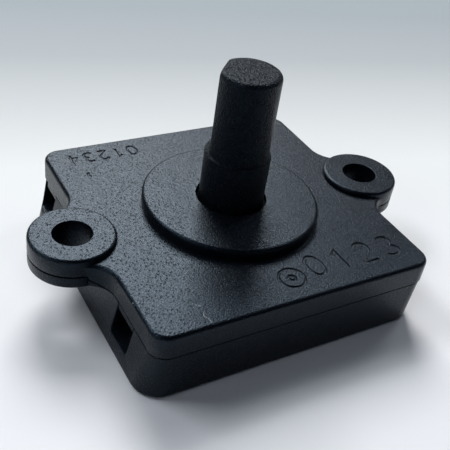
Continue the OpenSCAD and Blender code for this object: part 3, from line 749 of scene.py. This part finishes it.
moved = add(coil_tree, "GeometryNodeTransform", {"Geometry": spiral, "Translation": spot})
wire = sweep(coil_tree, moved.outputs["Geometry"], given["Wire radius"], WIRE_SIDES)
close_tree(coil_tree, wire, spring_steel)
# The tree makes its own curve, so the host's short line is only there to carry it
coil = grow(path_host("coil", [[(0, 0, 0), (0.1, 0, 0)]]), coil_tree, coil_ids, COIL_SIZES, "bridge_coil")

# %% [markdown]
# ## Detent leaves
#
# Two bent leaves of spring steel press their noses into the rotor's star wheel and give the switch its
# click. The contact bridge sweeps closely under the front one. So each leaf's lower edge is trimmed by
# eight hundredths of a millimetre, which leaves the bridge free to pass.

# %% Trim the leaves
LEAF_TRIM = 0.08 * MM
EDGE_SLACK = 0.01 * MM


def trimmed_leaf(node, name):
    leaf = merged_copy(node, name)
    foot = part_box(node)[0].z
    for v in leaf.data.vertices:
        if v.co.z - foot < EDGE_SLACK:
            v.co.z += LEAF_TRIM
    return leaf


front_leaf = trimmed_leaf("detent_spring_front", "detent_leaf_front")
back_leaf = trimmed_leaf("detent_spring_back", "detent_leaf_back")
print("leaves trimmed by", LEAF_TRIM / MM, "mm")

# %% [markdown]
# ## Scuffs
#
# The photographed switch is used. A scratch near the front edge and nicks along the left edge show as
# pale chips where the black skin is torn and the glass fibre comes up. A painted spot would lie flat in
# the skin, so small flakes scattered along short paths give them: each is a flattened lump of a tenth of
# a millimetre, turned and sized at random from a fixed seed.

# %% Scuff flakes with Geometry Nodes
TORN_MM = 0.08
bruise, tree, shader, place = principled("bruised_black_nylon")
mottle = add(tree, "ShaderNodeTexNoise", {
    "Vector": place, "Scale": 1 / (TORN_MM * MM), "Detail": 2.0}).outputs["Fac"]
bruise_colour = add(tree, "ShaderNodeMix", {
    "Factor": mottle, FIRST_COLOUR: linear("#8a9098"), SECOND_COLOUR: linear("#c4cad0")},
    data_type="RGBA")
tree.links.new(bruise_colour.outputs[MIXED_COLOUR], shader.inputs["Base Color"])
shader.inputs["Roughness"].default_value = 0.7

FLAKE_SIZES = {"Spacing": 0.07 * MM, "Flake size": 0.05 * MM, "Spread": 0.05 * MM, "Seed": 7}
FLAKE_SHAPE = (1, 0.6, 0.25)
# Flakes tip a little either way, in radians, and turn by up to a full circle
TIP, FULL_CIRCLE = 0.2, 6.283
flake_tree, given, flake_ids = geometry_tree("scuff_flakes", FLAKE_SIZES)
track = add(flake_tree, "GeometryNodeMeshToCurve", {"Mesh": given["Geometry"]}).outputs["Curve"]
spots = add(flake_tree, "GeometryNodeCurveToPoints", {
    "Curve": track, "Length": given["Spacing"]}, mode="LENGTH").outputs["Points"]
push = add(flake_tree, "FunctionNodeRandomValue", {
    "Min": (-1, -1, 0), "Max": (1, 1, 0), "Seed": given["Seed"]}, data_type="FLOAT_VECTOR")
stray = add(flake_tree, "ShaderNodeVectorMath", {
    0: push.outputs["Value"], "Scale": given["Spread"]}, operation="SCALE").outputs["Vector"]
strewn = add(flake_tree, "GeometryNodeSetPosition", {"Geometry": spots, "Offset": stray})
lump = add(flake_tree, "GeometryNodeMeshIcoSphere", {
    "Radius": given["Flake size"], "Subdivisions": 2}).outputs["Mesh"]
flat = add(flake_tree, "GeometryNodeTransform", {"Geometry": lump, "Scale": FLAKE_SHAPE})
spin = add(flake_tree, "FunctionNodeRandomValue", {
    "Min": (-TIP, -TIP, 0), "Max": (TIP, TIP, FULL_CIRCLE), "Seed": given["Seed"]},
    data_type="FLOAT_VECTOR")
grown_by = add(flake_tree, "FunctionNodeRandomValue", {
    "Min": 0.3, "Max": 1.1, "Seed": given["Seed"]}, data_type="FLOAT")
laid = add(flake_tree, "GeometryNodeInstanceOnPoints", {
    "Points": strewn.outputs["Geometry"], "Instance": flat.outputs["Geometry"],
    "Rotation": spin.outputs["Value"], "Scale": grown_by.outputs["Value"]}).outputs["Instances"]
close_tree(flake_tree, laid, bruise)

SCRATCH = [
    [(-9.30, -10.80), (-9.05, -11.15), (-8.75, -11.25)],
    [(-8.92, -11.90), (-9.08, -12.35), (-8.90, -12.60), (-8.83, -13.10)],
]
NICKS = [[(-13.51, -9.00), (-13.52, -9.35)], [(-13.52, -5.60), (-13.51, -5.75)]]
# The nicks lie on the rounded edge, a little below the plate
NICK_DROP = 0.11
scuffs = grow(
    path_host("scuffs", at_height(SCRATCH, Z_PLATE)), flake_tree, flake_ids, FLAKE_SIZES, "edge_scuffs")
chips = grow(
    path_host("chips", at_height(NICKS, Z_PLATE - NICK_DROP)), flake_tree, flake_ids, FLAKE_SIZES,
    "edge_chips")

# %% [markdown]
# ## Riding and replacing
#
# Each new piece is hung on the body it moves with, and the node of the model that it stands for is hidden.
# The shaft and the coil spring turn with the rotor, and everything else stays with the housing.

# %% Tie the pieces to the bodies
for piece in (cover, base, rotor, coil, front_leaf, back_leaf):
    shade(piece)
for piece, body, node, material, slot in (
    (front_leaf, "housing", "detent_spring_front", spring_steel, "spring_steel"),
    (back_leaf, "housing", "detent_spring_back", spring_steel, "spring_steel"),
    (cover, "housing", "cover", housing_nylon, "housing_plastic"),
    (base, "housing", "base", housing_nylon, "housing_plastic"),
    (rotor, "rotor", "rotor", rotor_nylon, "rotor_plastic"),
    (coil, "rotor", "bridge_spring", None, "spring_steel"),
    (scuffs, "housing", None, None, "housing_plastic"),
    (chips, "housing", None, None, "housing_plastic"),
):
    if material:
        piece.data.materials.append(material)
    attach(piece, body)
    if node:
        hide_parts(node)
    print(piece.name, "rides on", body)

# %% [markdown]
# ## Painted shade in the mouth round the shaft
#
# The gap between the shaft and the boss lies in deep shade, so a black ring shows there. The cover's faces
# inside the mouth get a near-black, almost glossless material as their second one: painted shade, which
# stays dark under any lamp. A separate dark ring would do it too, but it would fill the gap that the shaft
# turns in.

# %% Paint shade into the mouth
MOUTH_REACH, MOUTH_DEPTH, MOUTH_BRIM = 3.5, 1, 0.02
SHADE_SLOT = 1
# The second material is painted shade: the faces inside the mouth stay near black.
cover.data.materials.append(mouth_shade_nylon)
mouth_faces = 0
for face in cover.data.polygons:
    within = math.hypot(face.center.x, face.center.y) < MOUTH_REACH * MM
    if within and Z_PLATE - MOUTH_DEPTH < face.center.z / MM < Z_BOSS - MOUTH_BRIM:
        face.material_index = SHADE_SLOT
        mouth_faces += 1
print("faces in the mouth:", mouth_faces)
